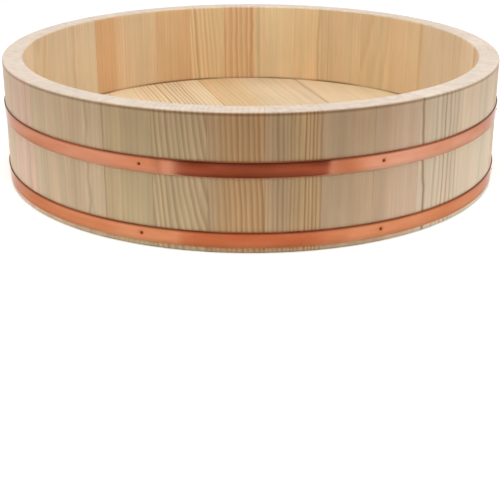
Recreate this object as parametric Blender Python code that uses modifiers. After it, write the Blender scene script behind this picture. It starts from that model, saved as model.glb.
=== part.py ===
"""Sushi rice tub: a coopered wooden tub with a boarded floor and two tacked copper hoops.

Metres, +Z up. The origin is at the middle of the foot, on the surface that the tub stands on.
The front of the tub faces -Y, and an angle is counted from the front towards +X.
"""

import math

import bmesh
import bpy
from mathutils import Matrix, Vector

# Wall: staves set on end in a ring
RIM_DIAMETER = 0.360
FOOT_DIAMETER = 0.359
HEIGHT = 0.089
WALL = 0.0145
STAVE_COUNT = 33
FIRST_SEAM_ANGLE = math.radians(2.65)
RIM_ROUND = 0.0020
FOOT_ROUND = 0.0015

# Floor: boards edge to edge, let into a groove that runs round the inside of the wall
FOOT_RECESS = 0.0132
FLOOR_THICKNESS = 0.0110
GROOVE_DEPTH = 0.0040
BOARD_COUNT = 4
BOARD_TURN = math.radians(17.0)

# Pins across the joints between the floor boards
PIN_DIAMETER = 0.0045
PIN_LENGTH = 0.030
PIN_SPACING = 0.120
PINS_PER_JOINT = 2

# Hoops: a copper strip round the wall, its end lapped over its start
HOOP_WIDTH = 0.0103
HOOP_THICKNESS = 0.0006
UPPER_HOOP_BELOW_RIM = 0.0303
LOWER_HOOP_ABOVE_FOOT = 0.0036
LAP_LENGTH = 0.026
LAP_RAMP_LENGTH = 0.022
LAP_TACK = 5

# Tacks: small nails through the hoops into the staves
TACK_COUNT = 7
TACK_FIRST_ANGLE = math.radians(-21.9)
TACK_PITCH = math.radians(48.5)
TACK_SHANK_DIAMETER = 0.0012
TACK_HEAD_DIAMETER = 0.0026
TACK_HEAD_HEIGHT = 0.0007
TACK_LENGTH = 0.0090
TACK_POINT_LENGTH = 0.0020

# Clearance left between pieces that touch
FIT_GAP = 0.0003

# How finely curves are drawn, and how points and corners are told apart
STEPS_PER_STAVE = 3
ROUND_STEPS = 2
TACK_SIDES = 10
PIN_SIDES = 16
WELD_DISTANCE = 0.00003
SHARP_ANGLE = math.radians(30.0)
QUARTER_TURN = math.pi / 2.0

# Worked out from the sizes above
WALL_SLOPE = (RIM_DIAMETER - FOOT_DIAMETER) / (2.0 * HEIGHT)
STAVE_PITCH = 2.0 * math.pi / STAVE_COUNT
RING_STEPS = STAVE_COUNT * STEPS_PER_STAVE
GROOVE_TOP = FOOT_RECESS + FLOOR_THICKNESS + FIT_GAP
GROOVE_BOTTOM = FOOT_RECESS - FIT_GAP
UPPER_HOOP_TOP = HEIGHT - UPPER_HOOP_BELOW_RIM
LOWER_HOOP_TOP = LOWER_HOOP_ABOVE_FOOT + HOOP_WIDTH


def clear_scene():
    """Take every object out of the scene."""
    for thing in list(bpy.data.objects):
        bpy.data.objects.remove(thing, do_unlink=True)


def new_collection(name):
    """A collection of this name in the scene."""
    group = bpy.data.collections.new(name)
    bpy.context.scene.collection.children.link(group)
    return group


def material(name, colour, roughness, metallic=0.0):
    """A plain Principled material."""
    finish = bpy.data.materials.new(name)
    finish.use_nodes = True
    shader = finish.node_tree.nodes["Principled BSDF"]
    shader.inputs["Base Color"].default_value = (*colour, 1.0)
    shader.inputs["Roughness"].default_value = roughness
    shader.inputs["Metallic"].default_value = metallic
    return finish


def mesh_from(form, name):
    """Turn a bmesh into a mesh with its faces pointing out."""
    bmesh.ops.recalc_face_normals(form, faces=form.faces)
    mesh = bpy.data.meshes.new(name)
    form.to_mesh(mesh)
    form.free()
    return mesh


def shade_round(mesh):
    """Shade curved faces smooth and keep the corners sharp."""
    mesh.shade_smooth()
    mesh.set_sharp_from_angle(angle=SHARP_ANGLE)


def add_part(name, mesh, finish, group, parent):
    """Put a mesh in the scene as one named piece of the tub."""
    part = bpy.data.objects.new(name, mesh)
    if not mesh.materials:
        mesh.materials.append(finish)
    group.objects.link(part)
    part.parent = parent
    return part


def add_cutter(name, mesh, group):
    """Put a mesh in the scene as a cutter, which is not a piece of the tub."""
    cutter = bpy.data.objects.new(name, mesh)
    group.objects.link(cutter)
    cutter.hide_render = True
    cutter.display_type = "WIRE"
    return cutter


def cut_with(part, cutter):
    """Take a cutter's shape out of a part."""
    cut = part.modifiers.new("holes", "BOOLEAN")
    cut.operation = "DIFFERENCE"
    cut.solver = "EXACT"
    cut.object = cutter


def outer_radius(height):
    """Radius of the outside of the wall at a height: the wall tapers evenly from rim to foot."""
    return FOOT_DIAMETER / 2.0 + WALL_SLOPE * height


def inner_radius(height):
    """Radius of the inside of the wall at a height."""
    return outer_radius(height) - WALL


def groove_radius():
    """Radius of the bottom of the groove that holds the floor."""
    return inner_radius(FOOT_RECESS + FLOOR_THICKNESS / 2.0) + GROOVE_DEPTH


def around(angle, radius, height):
    """The point at an angle from the front, a radius and a height."""
    return Vector((radius * math.sin(angle), -radius * math.cos(angle), height))


def facing_out(angle, radius, height):
    """A frame at an angle whose Z axis points out of the wall, square to its slope."""
    lean = math.atan(WALL_SLOPE)
    turn = Matrix.Rotation(angle, 4, "Z") @ Matrix.Rotation(QUARTER_TURN + lean, 4, "X")
    return Matrix.Translation(around(angle, radius, height)) @ turn


def quarter_round(centre, across, up, start):
    """Points of a quarter round in a section, going clockwise from a number of quarter turns."""
    points = []
    for step in range(ROUND_STEPS + 1):
        angle = (start - step / ROUND_STEPS) * QUARTER_TURN
        points.append((centre[0] + across * math.cos(angle), centre[1] + up * math.sin(angle)))
    return points


def stave_profile():
    """The section of the wall as (radius, height): rounded rim, rounded foot, groove inside."""
    rim_z = HEIGHT - RIM_ROUND
    rim_out = (outer_radius(rim_z) - RIM_ROUND, rim_z)
    rim_in = (inner_radius(rim_z) + RIM_ROUND, rim_z)
    foot_out = (outer_radius(FOOT_ROUND) - FOOT_ROUND, FOOT_ROUND)
    foot_in = (inner_radius(FOOT_ROUND) + FOOT_ROUND, FOOT_ROUND)
    outline = quarter_round(rim_out, RIM_ROUND, RIM_ROUND, 1)
    outline += quarter_round(foot_out, FOOT_ROUND, FOOT_ROUND, 0)
    outline += quarter_round(foot_in, FOOT_ROUND, FOOT_ROUND, -1)
    outline.append((inner_radius(GROOVE_BOTTOM), GROOVE_BOTTOM))
    outline.append((groove_radius(), GROOVE_BOTTOM))
    outline.append((groove_radius(), GROOVE_TOP))
    outline.append((inner_radius(GROOVE_TOP), GROOVE_TOP))
    outline += quarter_round(rim_in, RIM_ROUND, RIM_ROUND, 2)
    return outline


def stave_mesh():
    """One stave, standing at the front: the wall's section spun through one pitch less the joint gap."""
    width = STAVE_PITCH - FIT_GAP / outer_radius(HEIGHT)
    form = bmesh.new()
    corners = [form.verts.new(around(-width / 2.0, radius, z)) for radius, z in stave_profile()]
    end = form.faces.new(corners)
    bmesh.ops.spin(
        form,
        geom=[end],
        axis=(0.0, 0.0, 1.0),
        cent=(0.0, 0.0, 0.0),
        angle=width,
        steps=STEPS_PER_STAVE,
    )
    mesh = mesh_from(form, "stave")
    shade_round(mesh)
    return mesh


def stave_angle(number):
    """Angle of the middle of a stave from the front."""
    return FIRST_SEAM_ANGLE + (number + 0.5) * STAVE_PITCH


def build_staves(finish, group, parent, tack_holes):
    """The ring of staves, each bored for the tacks that enter it."""
    mesh = stave_mesh()
    for number in range(STAVE_COUNT):
        stave = add_part(f"stave_{number + 1:02d}", mesh, finish, group, parent)
        stave.rotation_euler.z = stave_angle(number)
        cut_with(stave, tack_holes)


def floor_radius():
    """Radius of the round floor, which stops short of the bottom of its groove."""
    return groove_radius() * math.cos(math.pi / RING_STEPS) - FIT_GAP


def board_width():
    """Width of a floor board."""
    return 2.0 * floor_radius() / BOARD_COUNT


def board_mesh(number):
    """One floor board along Y: the round of the floor cut at its two joints, then given its thickness."""
    left = -floor_radius() + number * board_width()
    form = bmesh.new()
    bmesh.ops.create_circle(form, cap_ends=True, radius=floor_radius(), segments=RING_STEPS)
    for place, side in ((left + FIT_GAP / 2.0, -1.0), (left + board_width() - FIT_GAP / 2.0, 1.0)):
        bmesh.ops.bisect_plane(
            form,
            geom=form.verts[:] + form.edges[:] + form.faces[:],
            plane_co=(place, 0.0, 0.0),
            plane_no=(side, 0.0, 0.0),
            clear_outer=True,
        )
    grown = bmesh.ops.extrude_face_region(form, geom=form.faces[:])
    raised = [piece for piece in grown["geom"] if isinstance(piece, bmesh.types.BMVert)]
    bmesh.ops.translate(form, vec=(0.0, 0.0, FLOOR_THICKNESS), verts=raised)
    mesh = mesh_from(form, "floor_board")
    shade_round(mesh)
    return mesh


def pin_places():
    """Where the floor pins lie, seen along the boards: the middle of each pin."""
    places = []
    for joint in range(1, BOARD_COUNT):
        for pin in range(PINS_PER_JOINT):
            along = (pin - (PINS_PER_JOINT - 1) / 2.0) * PIN_SPACING
            places.append((-floor_radius() + joint * board_width(), along, FLOOR_THICKNESS / 2.0))
    return places


def rod(form, place, diameter, length):
    """Add a round rod along X to a bmesh."""
    bmesh.ops.create_cone(
        form,
        cap_ends=True,
        segments=PIN_SIDES,
        radius1=diameter / 2.0,
        radius2=diameter / 2.0,
        depth=length,
        matrix=Matrix.Translation(place) @ Matrix.Rotation(QUARTER_TURN, 4, "Y"),
    )


def build_floor(board_finish, pin_finish, group, cutters, parent):
    """The floor boards on a turned frame, with the pins across their joints."""
    frame = bpy.data.objects.new("floor_frame", None)
    group.objects.link(frame)
    frame.parent = parent
    frame.location.z = FOOT_RECESS
    frame.rotation_euler.z = BOARD_TURN

    holes = bmesh.new()
    for place in pin_places():
        rod(holes, place, PIN_DIAMETER + 2.0 * FIT_GAP, PIN_LENGTH + 2.0 * FIT_GAP)
    pin_holes = add_cutter("pin_holes", mesh_from(holes, "pin_holes"), cutters)
    pin_holes.parent = frame

    for number in range(BOARD_COUNT):
        board = add_part(f"floor_board_{number + 1}", board_mesh(number), board_finish, group, frame)
        cut_with(board, pin_holes)

    form = bmesh.new()
    rod(form, (0.0, 0.0, 0.0), PIN_DIAMETER, PIN_LENGTH)
    mesh = mesh_from(form, "floor_pin")
    shade_round(mesh)
    for number, place in enumerate(pin_places()):
        pin = add_part(f"floor_pin_{number + 1}", mesh, pin_finish, group, frame)
        pin.location = place


def hoop_middle(top):
    """Height of the middle of a hoop whose top edge is at this height."""
    return top - HOOP_WIDTH / 2.0


def hoop_seat(top):
    """Radius of the inner face of a hoop, at the middle of its width."""
    return outer_radius(hoop_middle(top)) + FIT_GAP


def lap_rise():
    """How much further out the lapped end lies than the start that it covers."""
    return HOOP_THICKNESS + FIT_GAP


def lap_start(seat):
    """Angle at which the strip starts: half a lap before the tack that holds both ends."""
    return tack_angle(LAP_TACK) - LAP_LENGTH / (2.0 * seat)


def strip_lift(angle, seat):
    """How far a strip is lifted off its seat, by the angle gone round from its start."""
    ramp = LAP_RAMP_LENGTH / seat
    share = (angle - (2.0 * math.pi - ramp)) / ramp
    share = min(max(share, 0.0), 1.0)
    return lap_rise() * share * share * (3.0 - 2.0 * share)


def strip_path(seat):
    """Points along the inner face of a hoop, from its start once round and over the lap."""
    turn = 2.0 * math.pi + LAP_LENGTH / seat
    steps = math.ceil(RING_STEPS * turn / (2.0 * math.pi))
    points = []
    for step in range(steps + 1):
        angle = turn * step / steps
        points.append(around(lap_start(seat) + angle, seat + strip_lift(angle, seat), 0.0))
    return points


def strip_mesh(top, scene_group):
    """A copper strip on edge along its path, leaning with the wall behind it."""
    ribbon = bpy.data.curves.new("hoop_path", "CURVE")
    ribbon.dimensions = "2D"
    ribbon.fill_mode = "NONE"
    ribbon.extrude = HOOP_WIDTH / 2.0
    points = strip_path(hoop_seat(top))
    path = ribbon.splines.new("POLY")
    path.points.add(len(points) - 1)
    for knot, point in zip(path.points, points):
        knot.co = (*point, 1.0)
    wall = bpy.data.objects.new("hoop_path", ribbon)
    scene_group.objects.link(wall)
    bpy.context.view_layer.update()
    seen = wall.evaluated_get(bpy.context.evaluated_depsgraph_get())
    mesh = bpy.data.meshes.new_from_object(seen)
    bpy.data.objects.remove(wall, do_unlink=True)

    form = bmesh.new()
    form.from_mesh(mesh)
    bmesh.ops.remove_doubles(form, verts=form.verts, dist=WELD_DISTANCE)
    for corner in form.verts:
        corner.co.xy *= 1.0 + WALL_SLOPE * corner.co.z / corner.co.xy.length
    form.normal_update()
    first = form.faces[:][0]
    if first.normal.dot(first.calc_center_median()) < 0.0:
        bmesh.ops.reverse_faces(form, faces=form.faces)
    form.to_mesh(mesh)
    form.free()
    return mesh


def build_hoop(name, top, finish, group, parent, tack_holes):
    """One hoop with its lapped end, thickened outwards and bored for its tacks."""
    mesh = strip_mesh(top, group)
    hoop = add_part(name, mesh, finish, group, parent)
    hoop.location.z = hoop_middle(top)
    thicken = hoop.modifiers.new("thickness", "SOLIDIFY")
    thicken.thickness = HOOP_THICKNESS
    thicken.offset = 1.0
    cut_with(hoop, tack_holes)
    shade_round(mesh)


def tack_angle(number):
    """Angle of a tack from the front."""
    return TACK_FIRST_ANGLE + number * TACK_PITCH


def tack_frame(number, top):
    """Frame of a tack on the face that its head rests on: the hoop, or the lap of the hoop."""
    lift = lap_rise() if number == LAP_TACK else 0.0
    seat = hoop_seat(top) + HOOP_THICKNESS + lift
    return facing_out(tack_angle(number), seat, hoop_middle(top))


def tack_mesh():
    """A tack along Z with its head up, turned from its section: the head's underside is at zero."""
    shank = TACK_SHANK_DIAMETER / 2.0
    section = quarter_round((0.0, 0.0), TACK_HEAD_DIAMETER / 2.0, TACK_HEAD_HEIGHT, 1)
    section.append((shank, 0.0))
    section.append((shank, TACK_POINT_LENGTH - TACK_LENGTH))
    section.append((0.0, -TACK_LENGTH))
    mesh = bpy.data.meshes.new("tack")
    edges = [(step, step + 1) for step in range(len(section) - 1)]
    mesh.from_pydata([(radius, 0.0, z) for radius, z in section], edges, [])
    return mesh


def turn_round(part, sides):
    """Turn a part's section into a solid round its Z axis."""
    screw = part.modifiers.new("turned", "SCREW")
    screw.axis = "Z"
    screw.steps = sides
    screw.render_steps = sides
    screw.use_merge_vertices = True
    screw.merge_threshold = WELD_DISTANCE
    screw.use_smooth_shade = True


def tack_hole_cutter(cutters):
    """All the tack holes as one cutter: a rod in from each head, a little wider and deeper than the shank."""
    form = bmesh.new()
    reach = TACK_HEAD_HEIGHT + lap_rise()
    depth = TACK_LENGTH + FIT_GAP + reach
    inwards = Matrix.Translation((0.0, 0.0, reach - depth / 2.0))
    for top in (UPPER_HOOP_TOP, LOWER_HOOP_TOP):
        for number in range(TACK_COUNT):
            bmesh.ops.create_cone(
                form,
                cap_ends=True,
                segments=TACK_SIDES,
                radius1=TACK_SHANK_DIAMETER / 2.0 + FIT_GAP,
                radius2=TACK_SHANK_DIAMETER / 2.0 + FIT_GAP,
                depth=depth,
                matrix=tack_frame(number, top) @ inwards,
            )
    return add_cutter("tack_holes", mesh_from(form, "tack_holes"), cutters)


def build_tacks(name, top, finish, group, parent):
    """The tacks of one hoop, driven in until each head meets the copper."""
    mesh = tack_mesh()
    outwards = Matrix.Translation((0.0, 0.0, FIT_GAP))
    for number in range(TACK_COUNT):
        tack = add_part(f"{name}_{number + 1}", mesh, finish, group, parent)
        tack.matrix_local = tack_frame(number, top) @ outwards
        turn_round(tack, TACK_SIDES)


def build_tub():
    """The whole tub, with its cutters kept apart from its pieces."""
    clear_scene()
    pieces = new_collection("rice_tub")
    cutters = new_collection("cutters")
    tub = bpy.data.objects.new("rice_tub", None)
    pieces.objects.link(tub)

    stave_wood = material("stave_wood", (0.62, 0.42, 0.25), 0.55)
    floor_wood = material("floor_wood", (0.76, 0.57, 0.34), 0.55)
    pin_bamboo = material("pin_bamboo", (0.71, 0.55, 0.30), 0.50)
    hoop_copper = material("hoop_copper", (0.66, 0.29, 0.17), 0.28, 1.0)
    tack_metal = material("tack_metal", (0.20, 0.10, 0.06), 0.40, 1.0)

    tack_holes = tack_hole_cutter(cutters)
    build_staves(stave_wood, pieces, tub, tack_holes)
    build_floor(floor_wood, pin_bamboo, pieces, cutters, tub)
    build_hoop("hoop_upper", UPPER_HOOP_TOP, hoop_copper, pieces, tub, tack_holes)
    build_hoop("hoop_lower", LOWER_HOOP_TOP, hoop_copper, pieces, tub, tack_holes)
    build_tacks("tack_upper", UPPER_HOOP_TOP, tack_metal, pieces, tub)
    build_tacks("tack_lower", LOWER_HOOP_TOP, tack_metal, pieces, tub)


build_tub()
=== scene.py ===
import math
from typing import NamedTuple

import bmesh
import bpy
import numpy as np
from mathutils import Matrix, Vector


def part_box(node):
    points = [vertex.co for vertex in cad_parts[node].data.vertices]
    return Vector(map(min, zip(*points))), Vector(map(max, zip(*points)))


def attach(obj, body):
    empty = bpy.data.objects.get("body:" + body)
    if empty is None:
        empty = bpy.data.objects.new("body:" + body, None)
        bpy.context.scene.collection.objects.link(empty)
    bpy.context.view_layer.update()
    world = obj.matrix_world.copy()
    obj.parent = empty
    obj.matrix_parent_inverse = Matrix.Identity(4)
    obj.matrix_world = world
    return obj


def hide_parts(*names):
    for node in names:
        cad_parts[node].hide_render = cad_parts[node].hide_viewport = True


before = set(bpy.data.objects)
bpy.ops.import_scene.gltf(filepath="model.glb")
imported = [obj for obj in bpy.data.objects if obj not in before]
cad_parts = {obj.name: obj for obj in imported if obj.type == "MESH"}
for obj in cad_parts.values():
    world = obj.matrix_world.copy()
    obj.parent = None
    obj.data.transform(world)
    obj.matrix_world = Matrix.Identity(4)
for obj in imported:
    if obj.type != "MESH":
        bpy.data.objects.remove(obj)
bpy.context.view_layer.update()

# Looks of a wooden rice tub: fine surfaces for its staves, floor boards, hoops and tacks, and their finish

# Sizes in metres, as the solids have them, and the finer ones that only the surface shows

MM = 0.001

# Section of the wall, with the groove for the floor, and the steps along its stretches
WALL = 14.5 * MM
RIM_ROUND = 1.2 * MM
FOOT_ROUND = 1.5 * MM
GROOVE_DEPTH = 4.0 * MM
GROOVE_ROOM = 0.3 * MM
FLOOR_GAP = 0.1 * MM
ROUND_STEPS = 7
WALL_STEPS = 12
RIM_STEPS = 4
FOOT_STEPS = 3
UNDER_STEPS = 2
GROOVE_STEPS = 2

# Sides of a stave: the gap between solids, the finer seam that shows, the eased edge, and where a joint fades
SOLID_GAP = 0.3 * MM
SEAM_GAP = 0.06 * MM
ARRIS = 0.14 * MM
ARRIS_SHARES = (0.0, 0.12, 0.4, 1.0)
JOINT_START = 0.6 * MM
JOINT_END = 1.9 * MM
HALF_STAVE_COLUMNS = 8

# Floor boards. The outer ones stop just short of the round floor's edge, so that they keep some length there
BOARD_TURN = math.radians(17)
BOARD_ARRIS = 0.35 * MM
BOARD_ARRIS_STEPS = 4
BOARD_SIDE_STEPS = (28, 2, 28, 2)
BOARD_ROWS = 48
BOARD_END = 0.9995

# Strip of the hoops, with its slow waves, its lap and the dimples that the tacks press into it
STRIP_THICKNESS = 0.6 * MM
STRIP_EDGE = 0.22 * MM
STRIP_EDGE_STEPS = 3
STRIP_SIDE_STEPS = (1, 14, 1, 3)
STRIP_SEAT = 0.05 * MM
STRIP_STAND_OFF = 0.24 * MM
STRIP_STEPS = 720
STRIP_WAVE = 0.035 * MM
STRIP_WAVE_COUNTS = (9, 14, 23, 31, 47, 64)
LAP_LENGTH = 26.0 * MM
LAP_RAMP = 22.0 * MM
DIMPLE_DEPTH = 0.30 * MM
DIMPLE_REACH = 1.1875 * MM
DIMPLE_SPAN = 4 * DIMPLE_REACH
DIMPLE_STEPS = 25

# Tacks. The one with the number LAP_TACK goes through the lap
TACK_COUNT = 7
LAP_TACK = 6
TACK_HEAD = 2.3 * MM
TACK_DOME = 0.55 * MM
TACK_DOME_START = 0.04
TACK_DOME_STEPS = 9
TACK_BRIM = 0.05 * MM
TACK_SHANK = 1.2 * MM
TACK_LENGTH = 9.0 * MM
TACK_POINT = 2.0 * MM
TACK_TIP = 0.05 * MM
TACK_SIDES = 28

SHARP_ANGLE = math.radians(40)


# Places read from the frame

def node_points(node):
    """The corners of a solid, one row of x, y and z each."""
    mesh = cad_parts[node].data
    flat = np.empty(3 * len(mesh.vertices), np.float32)
    mesh.vertices.foreach_get("co", flat)
    return flat.reshape(-1, 3).astype(float)


def wrapped(angle):
    """An angle brought to the half turn either side of zero."""
    return (angle + np.pi) % (2 * np.pi) - np.pi


def front_angle(points):
    """Angle of each point round the tub's axis, from the front (-Y) towards +X."""
    return np.arctan2(points[..., 0], -points[..., 1])


def angle_span(node):
    """Angle that the middle of a solid faces, and half the angle that it spans."""
    points = node_points(node)
    near = front_angle(points.mean(axis=0))
    turns = wrapped(front_angle(points) - near)
    return near + (turns.min() + turns.max()) / 2, (turns.max() - turns.min()) / 2


def round_axis(radius, angle, height):
    """Points at a radius, an angle from the front and a height."""
    return np.stack(np.broadcast_arrays(radius * np.sin(angle), -radius * np.cos(angle), height), axis=-1)


def nodes_named(start):
    """The nodes whose names start so, in order."""
    return sorted(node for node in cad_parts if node.startswith(start))


STAVES = nodes_named("stave_")
BOARDS = nodes_named("floor_board_")
PINS = nodes_named("floor_pin_")
HOOPS = ("upper", "lower")

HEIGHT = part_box("stave_01")[1].z
FLOOR_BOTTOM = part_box("floor_board_1")[0].z
FLOOR_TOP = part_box("floor_board_1")[1].z
HOOP_BOTTOM = {hoop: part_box("hoop_" + hoop)[0].z for hoop in HOOPS}
HOOP_TOP = {hoop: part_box("hoop_" + hoop)[1].z for hoop in HOOPS}

wall_points = np.concatenate([node_points(node) for node in STAVES])
wall_radius = np.hypot(wall_points[:, 0], wall_points[:, 1])
RIM_RADIUS = wall_radius.max()
FOOT_RADIUS = wall_radius[wall_points[:, 2] < 2 * FOOT_ROUND].max()
floor_points = np.concatenate([node_points(node) for node in BOARDS])
FLOOR_RADIUS = np.hypot(floor_points[:, 0], floor_points[:, 1]).max()


def outer_radius(height):
    """Outside of the wall: a cone from the foot to the rim."""
    return FOOT_RADIUS + (RIM_RADIUS - FOOT_RADIUS) * height / HEIGHT


# Surfaces worked out as grids

def smooth_step(share):
    """A ramp from 0 to 1 with level ends."""
    share = np.clip(share, 0, 1)
    return share * share * (3 - 2 * share)


def arc(centre, radius, start, end, steps):
    """Points on an arc of a circle, between two angles in degrees."""
    turn = np.radians(np.linspace(start, end, steps + 1))
    return np.stack([centre[0] + radius * np.cos(turn), centre[1] + radius * np.sin(turn)], axis=-1)


def run(start, end, steps):
    """Points evenly spaced between two points, without the two."""
    share = np.linspace(0, 1, steps + 1)[1:-1, None]
    return np.asarray(start) * (1 - share) + np.asarray(end) * share


def loop(*parts):
    """A closed outline of arcs and single points, with straight runs of a given step count between them."""
    pieces = []
    for index, (part, steps) in enumerate(parts):
        part = np.atleast_2d(part)
        following = np.atleast_2d(parts[(index + 1) % len(parts)][0])
        pieces += [part, run(part[-1], following[0], steps)]
    return np.concatenate(pieces)


def rounded_bar(left, right, bottom, top, edge, edge_steps, side_steps):
    """Section of a bar with rounded edges, clockwise from its upper left one, with a step count for the runs
    along its top, right, bottom and left."""
    low, high = bottom + edge, top - edge
    return loop(
        (arc((left + edge, high), edge, 180, 90, edge_steps), side_steps[0]),
        (arc((right - edge, high), edge, 90, 0, edge_steps), side_steps[1]),
        (arc((right - edge, low), edge, 0, -90, edge_steps), side_steps[2]),
        (arc((left + edge, low), edge, -90, -180, edge_steps), side_steps[3]),
    )


def outward(outline):
    """Unit normals of a closed outline that runs clockwise: its tangent turned a quarter turn."""
    along = np.roll(outline, -1, axis=0) - np.roll(outline, 1, axis=0)
    across = np.stack([-along[:, 1], along[:, 0]], axis=-1)
    return across / np.linalg.norm(across, axis=1, keepdims=True)


def swept_mesh(name, rings):
    """Skin of a row of closed loops: rings[row, column] is a point, each loop is joined to the next by
    quads, and the first and the last loop are filled."""
    rows, columns = rings.shape[:2]
    at = np.arange(rows * columns).reshape(rows, columns)
    turned = np.roll(at, -1, axis=1)
    sides = np.stack([at[:-1], turned[:-1], turned[1:], at[1:]], axis=-1).reshape(-1, 4)
    mesh = bpy.data.meshes.new(name)
    mesh.from_pydata(rings.reshape(-1, 3).tolist(), [], sides.tolist() + at[[0, -1]].tolist())
    shell = bmesh.new()
    shell.from_mesh(mesh)
    bmesh.ops.recalc_face_normals(shell, faces=shell.faces)
    shell.to_mesh(mesh)
    shell.free()
    mesh.shade_smooth()
    mesh.set_sharp_from_angle(angle=SHARP_ANGLE)
    return mesh


def paint(mesh, name, kind, field, values):
    """Keep an array of values on the mesh's points, for the material to read."""
    layer = mesh.attributes.new(name, kind, "POINT")
    layer.data.foreach_set(field, np.ascontiguousarray(values, np.float32).ravel())


def new_object(name, data):
    """A new object in the scene."""
    made = bpy.data.objects.new(name, data)
    bpy.context.scene.collection.objects.link(made)
    return made


def place_piece(mesh, material, node):
    """Put a finished mesh in the scene, in place of the solid that it is the fine surface of."""
    mesh.materials.append(material)
    piece = new_object(mesh.name, mesh)
    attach(piece, "root")
    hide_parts(node)


# Colours and nodes

WHITE = "#FFFFFF"

# What the values of noise mostly span, and the setting of a range with level ends
NOISE_SPAN = (0.25, 0.75)
SMOOTH = {"interpolation_type": "SMOOTHSTEP"}


def to_linear(colour):
    """An sRGB colour written as #RRGGBB, as linear red, green, blue and an alpha of 1."""
    channels = np.array([int(colour[at:at + 2], 16) for at in (1, 3, 5)]) / 255
    linear = np.where(channels <= 0.04045, channels / 12.92, ((channels + 0.055) / 1.055) ** 2.4)
    return (*linear.tolist(), 1.0)


def add(tree, kind, inputs=None, **settings):
    """Add one shader node. Settings are its properties, and inputs its sockets' values, each a number, a
    colour as numbers or as #RRGGBB, or the node or output that feeds it."""
    node = tree.nodes.new("ShaderNode" + kind)
    for name, value in settings.items():
        setattr(node, name, value)
    for socket, value in (inputs or {}).items():
        if isinstance(value, str):
            value = to_linear(value)
        elif isinstance(value, bpy.types.Node):
            value = value.outputs[0]
        if isinstance(value, bpy.types.NodeSocket):
            tree.links.new(value, node.inputs[socket])
        else:
            node.inputs[socket].default_value = value
    return node


def new_tree(name):
    """A new material and its empty node tree."""
    material = bpy.data.materials.new(name)
    material.use_nodes = True
    material.node_tree.nodes.clear()
    return material, material.node_tree


def from_span(low, high):
    """The two ends of what a range takes in."""
    return {"From Min": low, "From Max": high}


def to_span(low, high):
    """The two ends of what a range gives out."""
    return {"To Min": low, "To Max": high}


def stretched_noise(tree, place, size, detail=2.0):
    """Noise whose lumps have a given size along each axis of the place, in the place's own unit."""
    scale = tuple(1 / length for length in size)
    scaled = add(tree, "VectorMath", {0: place, 1: scale}, operation="MULTIPLY")
    return add(tree, "TexNoise", {"Vector": scaled, "Scale": 1.0, "Detail": detail})


def toned(tree, colour, noise, swing):
    """A colour made darker and paler by noise, by up to a swing either side."""
    factor = add(tree, "MapRange", {"Value": noise, **from_span(*NOISE_SPAN),
                                    **to_span(1 - swing, 1 + swing)})
    return add(tree, "VectorMath", {0: colour, "Scale": factor}, operation="SCALE").outputs[0]


def band(tree, value, middle, reach):
    """1 where a value is at the middle of a band, falling smoothly to 0 at its reach."""
    apart = add(tree, "Math", {0: value, 1: middle}, operation="SUBTRACT")
    distance = add(tree, "Math", {0: apart}, operation="ABSOLUTE")
    return add(tree, "MapRange", {"Value": distance, **from_span(reach, 0.0)}, **SMOOTH)


def tinted(tree, colour, share, tint):
    """A colour, multiplied by a tint by as much as the share says."""
    changed = add(tree, "VectorMath", {0: colour, 1: tint}, operation="MULTIPLY")
    return add(tree, "Mix", {0: share, 6: colour, 7: changed}, data_type="RGBA").outputs[2]


def tub_place(tree):
    """Height of a point, and its distance from the tub's axis."""
    place = add(tree, "TexCoord").outputs["Object"]
    height = add(tree, "SeparateXYZ", {0: place}).outputs["Z"]
    level = add(tree, "VectorMath", {0: place, 1: (1, 1, 0)}, operation="MULTIPLY")
    return height, add(tree, "VectorMath", {0: level}, operation="LENGTH").outputs["Value"]


# Softwood

# Cypress, planed and sanded, left bare. Growth rings pass through each stave as they did through its log, so
# a face shows stripes or arches, and the sawn rim shows faint arcs. Fibres and streaks run along the grain.
# A set of three that ends in MM is the size of a pattern's lumps across, through and along the grain, in mm.
# Real fibres are finer than FIBRE_MM, and are drawn as coarse as they need to show. A tint multiplies a
# colour.

# Growth rings: how far they stray, in rings, and the summer wood's shares of a year, in soft and crisp rings
RING_DRIFT = 1.3
RING_DRIFT_MM = (45, 45, 150)
RING_WOBBLE = 0.55
RING_WOBBLE_MM = (14, 14, 34)
RING_UNEVEN = 0.9
RING_UNEVEN_RATE = 0.37
RING_LEAST = 0.5
SUMMER_START = (0.10, 0.60)
SUMMER_FULL = 0.74
SUMMER_FALL = 0.82
SUMMER_TINT = (0.50, 0.38, 0.25)

# Tones along the grain
FIBRE_MM = (0.55, 0.55, 16)
FIBRE_SWING = 0.045
STREAK_MM = (5, 5, 120)
STREAK_SWING = 0.055
CLOUD_MM = (30, 30, 55)
CLOUD_SWING = 0.05
BLUSH_MM = (11, 11, 170)
BLUSH_SPAN = (0.35, 0.65)
BLUSH_OLIVE = (0.978, 1.003, 1.0, 1.0)
BLUSH_PINK = (1.022, 0.992, 0.985, 1.0)

# Lines of pitch, which wander within a width in mm
PITCH_WANDER = 7.0
PITCH_WANDER_MM = (400, 400, 27)
PITCH_TINT = (0.50, 0.39, 0.27)

# Outside of the wall: the depths between which its weathering, painted shade and painted light set in, and
# its tints
SKIN_SPAN = (2.5 * MM, 0.3 * MM)
# Painted shade: the outside is a darker, browner copy of the inside
OUTSIDE_SHADE_TINT = (0.984, 0.925, 0.872)
WEATHER_MM = (8, 8, 140)
WEATHER_SWING = 0.11
# Painted shade: the outside darkens from the foot to the rim, in place of the light that the floor throws up
TOP_SHADE_TINT = (0.70, 0.65, 0.60)
# Painted shade: a dark line in the crevice above each hoop
ABOVE_HOOP_SHADE_TINT = (0.86, 0.76, 0.68)
ABOVE_HOOP_SHADE_REACH = 1.0 * MM
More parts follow.
